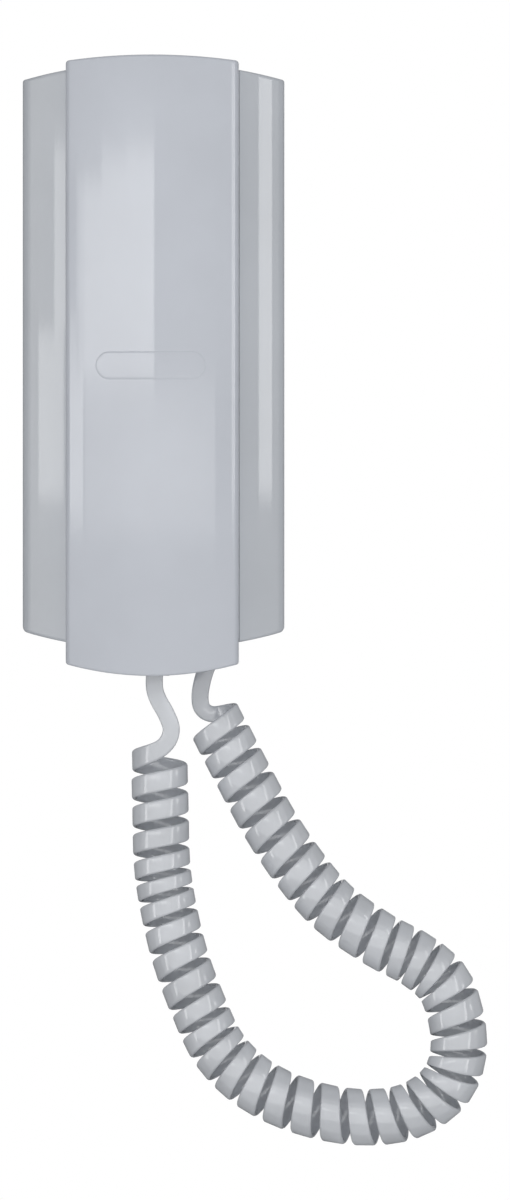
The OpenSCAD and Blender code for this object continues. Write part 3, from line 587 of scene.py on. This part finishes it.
# Pitch of those turns in thicknesses of the wire
CLOSED_PITCH = 1.1
RINGS_PER_SPRING_TURN = 24
WIRE_SIDES = 10


def spring_rings(low, high, wire):
    """Rings of a wire wound inside a box, from the wall outwards, with closed end turns."""
    x, _, z = (low + high) / 2
    r = (high[0] - low[0] - wire) / 2
    first = -high[1] + wire / 2
    last = -low[1] - wire / 2
    closed = CLOSED_TURNS * CLOSED_PITCH * wire
    turns = np.linspace(0, SPRING_TURNS, SPRING_TURNS * RINGS_PER_SPRING_TURN + 1)
    places = [0, CLOSED_TURNS, SPRING_TURNS - CLOSED_TURNS, SPRING_TURNS]
    middle = np.interp(turns, places, [first, first + closed, last - closed, last])
    rings = []
    for turn, depth in zip(turns, middle):
        sides = np.linspace(0, math.tau, WIRE_SIDES, endpoint=False)
        out = r + wire / 2 * np.cos(sides)
        angle = math.tau * turn
        away = depth + wire / 2 * np.sin(sides)
        rings.append(np.column_stack([x + out * math.cos(angle), -away, z + out * math.sin(angle)]))
    return np.array(rings)


def make_springs(material):
    for node, (body, wire) in SPRINGS.items():
        low, high = (np.array(corner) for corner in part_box(node))
        rings = spring_rings(low / MM, high / MM, wire) * MM
        count, sides = rings.shape[:2]
        piece = make_mesh(f"{node}_wire", rings.reshape(-1, 3), ring_faces(count, sides))
        even_normals(piece)
        piece.data.materials.append(material)
        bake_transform(piece)
        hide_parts(node)


# Bare plate on the handset's front: a thin pill that follows the curve

PLATE_X = (-18.7, 18.0)
PLATE_Z = (-7.8, 1.5)
PLATE_RISE = 0.14
# Each step of its edge: distance in from the outline and height above the front
PLATE_STEPS = ((0.0, -0.1), (0.0, 0.02), (0.08, 0.07), (0.22, 0.11), (0.45, PLATE_RISE), (0.8, PLATE_RISE))
PLATE_CAP_STEPS = 12
PLATE_LONG_STEPS = 24


def plate_ring(inset, rise):
    """A ring of the plate: along its top from left to right, and back along its bottom."""
    r = (PLATE_Z[1] - PLATE_Z[0]) / 2 - inset
    middle = sum(PLATE_Z) / 2
    left = PLATE_X[0] + inset + r
    right = PLATE_X[1] - inset - r
    turns = np.linspace(0, math.pi / 2, PLATE_CAP_STEPS)
    along = np.linspace(left, right, PLATE_LONG_STEPS)
    x = np.concatenate([left - r * np.cos(turns), along[1:-1], right + r * np.sin(turns)])
    z = np.concatenate([r * np.sin(turns), np.full(len(along) - 2, r), r * np.cos(turns)])
    x = np.concatenate([x, x[-2:0:-1]])
    z = np.concatenate([z, -z[-2:0:-1]])
    return np.column_stack([x, -front_depth(HANDSET, x) - rise, middle + z])


def make_plate(material):
    rings = [plate_ring(inset, rise) for inset, rise in PLATE_STEPS]
    size = len(rings[0])
    faces = wall_faces(ring_numbers(len(rings), size))
    # The two caps are strips from the top to the bottom of a ring
    for first, flip in ((0, 1), ((len(rings) - 1) * size, -1)):
        for k in range(size // 2):
            upper = (first + k, first + k + 1)
            lower = (first + (size - k - 1) % size, first + (size - k) % size)
            faces.append(tuple(dict.fromkeys(upper + lower))[::flip])
    piece = make_mesh("handset_plate", np.concatenate(rings) * MM, faces)
    even_normals(piece)
    piece.data.materials.append(material)
    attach(piece, "handset")


# Materials

WHITE = (1, 1, 1, 1)
BLACK = (0, 0, 0, 1)
# The stretch of a noise that is spread over a material's two shades
CLOUD_RANGE = (0.3, 0.7)
# Moulded plastic: noise scales of its clouding, its handling marks and its orange peel, that peel's depth in
# metres, and the ranges of its colour and its gloss as shares
MOULDED_CLOUDS = 26.0
MOULDED_HANDLING = 70.0
MOULDED_PEEL = 900.0
MOULDED_PEEL_DEPTH = 0.001
MOULDED_TINT = (0.985, 1.015)
MOULDED_GLOSS = (0.75, 1.3)
# Flexible plastic and rubber: the same, with wear in place of handling and a skin in place of the peel
FLEXIBLE_CLOUDS = 60.0
FLEXIBLE_WEAR = 240.0
FLEXIBLE_SKIN = 1400.0
FLEXIBLE_SKIN_DEPTH = 0.0004
FLEXIBLE_TINT = (0.96, 1.03)
FLEXIBLE_GLOSS = (0.85, 1.15)
# Zinc: noise scale of the plating's patches, their range, two colours and roughness, and the scratches
ZINC_PATCHES = 300.0
ZINC_RANGE = (0.3, 0.75)
ZINC_DARK = (178, 180, 184)
ZINC_LIGHT = (214, 216, 218)
ZINC_ROUGHNESS = (0.2, 0.42)
ZINC_SCRATCHES = 2600.0
ZINC_SCRATCH_STRENGTH = 0.08
ZINC_SCRATCH_DEPTH = 0.0002
# Circuit board: scale of the copper areas, the gaps between them, two greens, the mask's roughness and relief
COPPER_SCALE = 190.0
COPPER_GAP = (0.07, 0.11)
GAP_GREEN = (28, 80, 52)
MASK_GREEN = (42, 106, 68)
MASK_PATCHES = 200.0
MASK_ROUGHNESS = (0.25, 0.4)
COPPER_STRENGTH = 0.3
COPPER_RISE = 0.0001


def new_material(name):
    material = bpy.data.materials.new(name)
    material.use_nodes = True
    tree = material.node_tree
    shader = tree.nodes["Principled BSDF"]
    coordinates = tree.nodes.new("ShaderNodeTexCoord")
    return material, tree, shader, coordinates.outputs["Object"]


def linear(rgb):
    """An 8-bit screen colour as the linear one that the shader takes."""
    out = []
    for value in rgb:
        share = value / 255
        out.append(share / 12.92 if share <= 0.04045 else ((share + 0.055) / 1.055) ** 2.4)
    return (*out, 1.0)


def noise(tree, place, scale, detail=4.0, roughness=0.5):
    node = tree.nodes.new("ShaderNodeTexNoise")
    node.inputs["Scale"].default_value = scale
    node.inputs["Detail"].default_value = detail
    node.inputs["Roughness"].default_value = roughness
    tree.links.new(place, node.inputs["Vector"])
    return node.outputs["Fac"]


def ramp(tree, value, places, colours):
    """A colour or grey ramp between two places of a value."""
    node = tree.nodes.new("ShaderNodeValToRGB")
    for stop, place, colour in zip(node.color_ramp.elements, places, colours):
        stop.position = place
        stop.color = colour
    tree.links.new(value, node.inputs["Fac"])
    return node.outputs["Color"]


def spread(tree, value, limits):
    """A value from 0 to 1 spread over a range."""
    node = tree.nodes.new("ShaderNodeMapRange")
    node.inputs["To Min"].default_value, node.inputs["To Max"].default_value = limits
    tree.links.new(value, node.inputs["Value"])
    return node.outputs["Result"]


def bump(tree, shader, height, strength, distance):
    node = tree.nodes.new("ShaderNodeBump")
    node.inputs["Strength"].default_value = strength
    node.inputs["Distance"].default_value = distance
    tree.links.new(height, node.inputs["Height"])
    tree.links.new(node.outputs["Normal"], shader.inputs["Normal"])


def shades(rgb, factors):
    """A colour made darker and lighter by two factors, for a ramp."""
    return [linear(tuple(min(255, c * factor) for c in rgb)) for factor in factors]


def shares(value, factors):
    return tuple(value * factor for factor in factors)


def moulded_plastic(name, rgb, gloss, grain=0.004):
    """Moulded plastic: slight clouding of the colour, uneven gloss and a fine orange peel."""
    material, tree, shader, place = new_material(name)
    clouds = noise(tree, place, MOULDED_CLOUDS, detail=5.0)
    colour = ramp(tree, clouds, CLOUD_RANGE, shades(rgb, MOULDED_TINT))
    tree.links.new(colour, shader.inputs["Base Color"])
    handled = noise(tree, place, MOULDED_HANDLING, detail=6.0, roughness=0.6)
    tree.links.new(spread(tree, handled, shares(gloss, MOULDED_GLOSS)), shader.inputs["Roughness"])
    bump(tree, shader, noise(tree, place, MOULDED_PEEL, detail=2.0), grain, MOULDED_PEEL_DEPTH)
    return material


def soft_plastic(name, rgb, roughness, skin=0.05):
    """Satin flexible plastic or rubber: dusty clouding and a fine skin."""
    material, tree, shader, place = new_material(name)
    clouds = noise(tree, place, FLEXIBLE_CLOUDS, detail=6.0)
    colour = ramp(tree, clouds, CLOUD_RANGE, shades(rgb, FLEXIBLE_TINT))
    tree.links.new(colour, shader.inputs["Base Color"])
    worn = noise(tree, place, FLEXIBLE_WEAR)
    tree.links.new(spread(tree, worn, shares(roughness, FLEXIBLE_GLOSS)), shader.inputs["Roughness"])
    bump(tree, shader, noise(tree, place, FLEXIBLE_SKIN, detail=3.0), skin, FLEXIBLE_SKIN_DEPTH)
    return material


def zinc(name):
    """Bright zinc plated steel: fine scratches and uneven plating."""
    material, tree, shader, place = new_material(name)
    shader.inputs["Metallic"].default_value = 1.0
    patches = noise(tree, place, ZINC_PATCHES, detail=5.0)
    colour = ramp(tree, patches, ZINC_RANGE, (linear(ZINC_DARK), linear(ZINC_LIGHT)))
    tree.links.new(colour, shader.inputs["Base Color"])
    tree.links.new(spread(tree, patches, ZINC_ROUGHNESS), shader.inputs["Roughness"])
    scratches = noise(tree, place, ZINC_SCRATCHES, detail=2.0)
    bump(tree, shader, scratches, ZINC_SCRATCH_STRENGTH, ZINC_SCRATCH_DEPTH)
    return material


def solder_mask(name):
    """A circuit board: green mask over areas of copper, whose gaps show as darker lines."""
    material, tree, shader, place = new_material(name)
    gap = tree.nodes.new("ShaderNodeMath")
    gap.operation = "SUBTRACT"
    for slot, feature in enumerate(("F2", "F1")):
        cells = tree.nodes.new("ShaderNodeTexVoronoi")
        cells.feature = feature
        cells.distance = "CHEBYCHEV"
        cells.inputs["Scale"].default_value = COPPER_SCALE
        tree.links.new(place, cells.inputs["Vector"])
        tree.links.new(cells.outputs["Distance"], gap.inputs[slot])
    copper = gap.outputs["Value"]
    colour = ramp(tree, copper, COPPER_GAP, (linear(GAP_GREEN), linear(MASK_GREEN)))
    tree.links.new(colour, shader.inputs["Base Color"])
    patches = noise(tree, place, MASK_PATCHES)
    tree.links.new(spread(tree, patches, MASK_ROUGHNESS), shader.inputs["Roughness"])
    relief = ramp(tree, copper, COPPER_GAP, (BLACK, WHITE))
    bump(tree, shader, relief, COPPER_STRENGTH, COPPER_RISE)
    return material


BASE_GREY = (181, 185, 191)
HANDSET_GREY = (189, 193, 201)
CORD_GREY = (188, 191, 196)
GROMMET_GREY = (178, 182, 188)
TERMINAL_GREEN = (58, 134, 86)
PLASTIC_BLACK = (44, 45, 48)
RUBBER_BLACK = (36, 36, 38)


def make_materials():
    return {
        "base_shell": moulded_plastic("base_plastic", BASE_GREY, 0.05),
        "handset_shell": moulded_plastic("handset_plastic", HANDSET_GREY, 0.06),
        "flat_cord": soft_plastic("cord_plastic", CORD_GREY, 0.11, skin=0.02),
        "grommet": soft_plastic("grommet_rubber", GROMMET_GREY, 0.5),
        "board": solder_mask("circuit_board"),
        "terminal": moulded_plastic("terminal_plastic", TERMINAL_GREEN, 0.42, grain=0.02),
        "black_plastic": moulded_plastic("black_plastic", PLASTIC_BLACK, 0.45, grain=0.02),
        "black_rubber": soft_plastic("black_rubber", RUBBER_BLACK, 0.7),
        "steel": zinc("zinc_steel"),
    }


def dress_nodes(materials):
    """Every node that came from the CAD model takes the material of its slot in the record."""
    for row in frame["record"]["subparts"]:
        mesh = nodes[row["node"]].data
        mesh.materials.clear()
        mesh.materials.append(materials[row["material_slot"]])


# Stage: a pale floor, a white world and soft lamps


def seen_share(tree):
    """1 for rays that show the background: those of the camera, of gloss and of glass."""
    path = tree.nodes.new("ShaderNodeLightPath")
    total = path.outputs["Is Camera Ray"]
    for name in ("Is Glossy Ray", "Is Transmission Ray"):
        most = tree.nodes.new("ShaderNodeMath")
        most.operation = "MAXIMUM"
        tree.links.new(total, most.inputs[0])
        tree.links.new(path.outputs[name], most.inputs[1])
        total = most.outputs["Value"]
    return total


AMBIENT = 0.49
FLOOR_Z = -800.0
# Half the floor's width in metres, its colour and its roughness
FLOOR_HALF = 3.0
FLOOR_COLOUR = (0.9, 0.9, 0.9, 1)
FLOOR_ROUGHNESS = 0.9
# The floor's share of plain white for rays that show it, and that white's strength. The rest takes shadows.
FLOOR_WHITE = 0.8
FLOOR_GLOW = 1.15


def make_world():
    world = bpy.data.worlds.new("world")
    bpy.context.scene.world = world
    world.use_nodes = True
    tree = world.node_tree
    lit = tree.nodes["Background"]
    lit.inputs["Color"].default_value = WHITE
    lit.inputs["Strength"].default_value = AMBIENT
    seen = tree.nodes.new("ShaderNodeBackground")
    seen.inputs["Color"].default_value = WHITE
    mix = tree.nodes.new("ShaderNodeMixShader")
    tree.links.new(seen_share(tree), mix.inputs["Fac"])
    tree.links.new(lit.outputs["Background"], mix.inputs[1])
    tree.links.new(seen.outputs["Background"], mix.inputs[2])
    tree.links.new(mix.outputs["Shader"], tree.nodes["World Output"].inputs["Surface"])


def make_floor():
    signs = ((-1, -1), (1, -1), (1, 1), (-1, 1))
    corners = [(x * FLOOR_HALF, y * FLOOR_HALF, FLOOR_Z * MM) for x, y in signs]
    floor = make_mesh("floor", corners, [(0, 1, 2, 3)], smooth=False)
    material, tree, shader, _ = new_material("floor_white")
    shader.inputs["Base Color"].default_value = FLOOR_COLOUR
    shader.inputs["Roughness"].default_value = FLOOR_ROUGHNESS
    white = tree.nodes.new("ShaderNodeEmission")
    white.inputs["Color"].default_value = WHITE
    white.inputs["Strength"].default_value = FLOOR_GLOW
    mix = tree.nodes.new("ShaderNodeMixShader")
    part = tree.nodes.new("ShaderNodeMath")
    part.operation = "MULTIPLY"
    part.inputs[1].default_value = FLOOR_WHITE
    tree.links.new(seen_share(tree), part.inputs[0])
    tree.links.new(part.outputs["Value"], mix.inputs["Fac"])
    tree.links.new(shader.outputs["BSDF"], mix.inputs[1])
    tree.links.new(white.outputs["Emission"], mix.inputs[2])
    tree.links.new(mix.outputs["Shader"], tree.nodes["Material Output"].inputs["Surface"])
    floor.data.materials.append(material)


# Upright panels of light round the object: azimuths from straight ahead, to the right, in degrees, heights in
# millimetres, brightness, and the piece they light if it is one alone. They show in gloss only. Their
# distance and that of the soft lamps are in metres.
PANEL_AWAY = 1.1
PANELS = {
    "window_right": ((-18, 0.5), (2, 90), 2.6, None),
    "window_middle": ((-34, -18), (2, 86), 2.6, None),
    "window_left": ((-46, -34), (2, 78), 2.6, None),
    "window_edge": ((-50, -46), (2, 78), 1.9, None),
    "window_corner": ((-52, -50), (2, 78), 1.1, None),
    "wide_window": ((-46, 41), (-55, 2), 1.1, None),
    "stripe": ((-72, -47), (-53, 2), 2.5, "handset_shell"),
    "stripe_top": ((-72, -52), (2, 27), 1.6, "handset_shell"),
    "right_rim": ((54, 64), (-49, 130), 2.2, "handset_shell"),
    "right_wing": ((68, 78), (-42, 130), 2.95, None),
    "left_fill": ((-86, -56), (-140, 140), 0.9, "base_shell"),
    "left_wing_upper": ((-65, -56), (21, 90), 2.2, "base_shell"),
    "left_wing_lower": ((-77, -59), (-43, 21), 2.2, "base_shell"),
    "cord_left": ((-64, -54), (-780, 600), 3.6, "flat_curly_cord"),
    "cord_right": ((43, 51), (-780, 600), 3.6, "flat_curly_cord"),
    "cord_front": ((-54, 43), (-780, 600), 1.4, "flat_curly_cord"),
}
# A lamp's power in watts for each square metre and unit of brightness
WATTS = 4.0
# Soft square lamps that light the colours and don't show in gloss: azimuth and height in degrees, and
# brightness. The base has a key lamp of its own, which the handset doesn't shade, so its wings are even up to
# the handset.
SOFT_LAMPS = {
    "key": (4, 15, 1.75),
    "base_key": (4, 15, 1.65),
    "back_left": (-135, 15, 1.0),
    "back_right": (130, 15, 1.0),
}
SOFT_AWAY = 2.5
SOFT_SIZE = 2.0


def make_lamp(name, width, height, brightness, place, turn):
    lamp = bpy.data.lights.new(name, "AREA")
    lamp.shape = "RECTANGLE"
    lamp.size = width
    lamp.size_y = height
    lamp.energy = brightness * WATTS * width * height
    panel = bpy.data.objects.new(name, lamp)
    panel.location = place
    panel.rotation_euler = turn
    bpy.context.scene.collection.objects.link(panel)
    return panel


def piece_group(name, piece, state="INCLUDE"):
    """A collection that tells a lamp to light or shade one piece alone, or to leave it out."""
    group = bpy.data.collections.new(name)
    group.objects.link(bpy.data.objects[piece])
    group.collection_objects[0].light_linking.link_state = state
    return group


def make_lamps():
    for name, (azimuths, heights, brightness, piece) in PANELS.items():
        middle = math.radians(sum(azimuths) / 2)
        width = 2 * PANEL_AWAY * math.tan(math.radians(azimuths[1] - azimuths[0]) / 2)
        place = (PANEL_AWAY * math.sin(middle), -PANEL_AWAY * math.cos(middle), sum(heights) / 2 * MM)
        turn = (math.pi / 2, 0, middle)
        panel = make_lamp(name, width, (heights[1] - heights[0]) * MM, brightness, place, turn)
        panel.visible_diffuse = False
        if piece:
            panel.light_linking.receiver_collection = piece_group(name, piece)
    soft = {}
    for name, (azimuth, height, brightness) in SOFT_LAMPS.items():
        turn = math.radians(azimuth)
        rise = math.radians(height)
        away = SOFT_AWAY * math.cos(rise)
        place = (away * math.sin(turn), -away * math.cos(turn), SOFT_AWAY * math.sin(rise))
        lamp = make_lamp(name, SOFT_SIZE, SOFT_SIZE, brightness, place, (math.pi / 2 - rise, 0, turn))
        lamp.visible_glossy = False
        lamp.visible_camera = False
        soft[name] = lamp
    base_alone = piece_group("base_alone", "base_shell")
    soft["base_key"].light_linking.receiver_collection = base_alone
    soft["base_key"].light_linking.blocker_collection = base_alone
    soft["key"].light_linking.receiver_collection = piece_group("all_but_base", "base_shell", "EXCLUDE")


# Dark cards beside, above and under the object, in metres. Only its gloss shows them: they draw its edges, as
# black cards do in a photographer's tent. The front and the back stay open.
CARD_X = 1.4
CARD_FRONT = -0.15
CARD_BACK = 6.0
CARD_TOP = 1.3
CARD_TOP_FRONT = -1.0
CARD_OVER_FLOOR = 0.002
CARD_LOW = CARD_OVER_FLOOR + FLOOR_Z * MM
CARD_COLOUR = (0.02, 0.02, 0.02, 1)


def make_cards():
    sides = [
        [(x, y, z) for y, z in (
            (CARD_FRONT, CARD_LOW), (CARD_BACK, CARD_LOW), (CARD_BACK, CARD_TOP), (CARD_FRONT, CARD_TOP)
        )]
        for x in (-CARD_X, CARD_X)
    ]
    levels = [
        [(-CARD_X, front, z), (CARD_X, front, z), (CARD_X, CARD_BACK, z), (-CARD_X, CARD_BACK, z)]
        for front, z in ((CARD_TOP_FRONT, CARD_TOP), (CARD_FRONT, CARD_LOW))
    ]
    points = [point for card in sides + levels for point in card]
    faces = [tuple(range(first, first + 4)) for first in range(0, len(points), 4)]
    cards = make_mesh("dark_cards", points, faces, smooth=False)
    material, _, shader, _ = new_material("card_black")
    shader.inputs["Base Color"].default_value = CARD_COLOUR
    shader.inputs["Roughness"].default_value = 1.0
    shader.inputs["Specular IOR Level"].default_value = 0.0
    cards.data.materials.append(material)
    cards.visible_camera = False
    cards.visible_diffuse = False
    cards.visible_transmission = False
    cards.visible_volume_scatter = False
    cards.visible_shadow = False


bpy.context.scene.view_settings.view_transform = "Standard"
make_camera()
palette = make_materials()
make_cord(palette["flat_cord"])
dress_nodes(palette)
make_handset_shell(palette["handset_shell"])
make_base_shell(palette["base_shell"])
make_plate(palette["handset_shell"])
make_springs(palette["steel"])
make_world()
make_floor()
make_lamps()
make_cards()
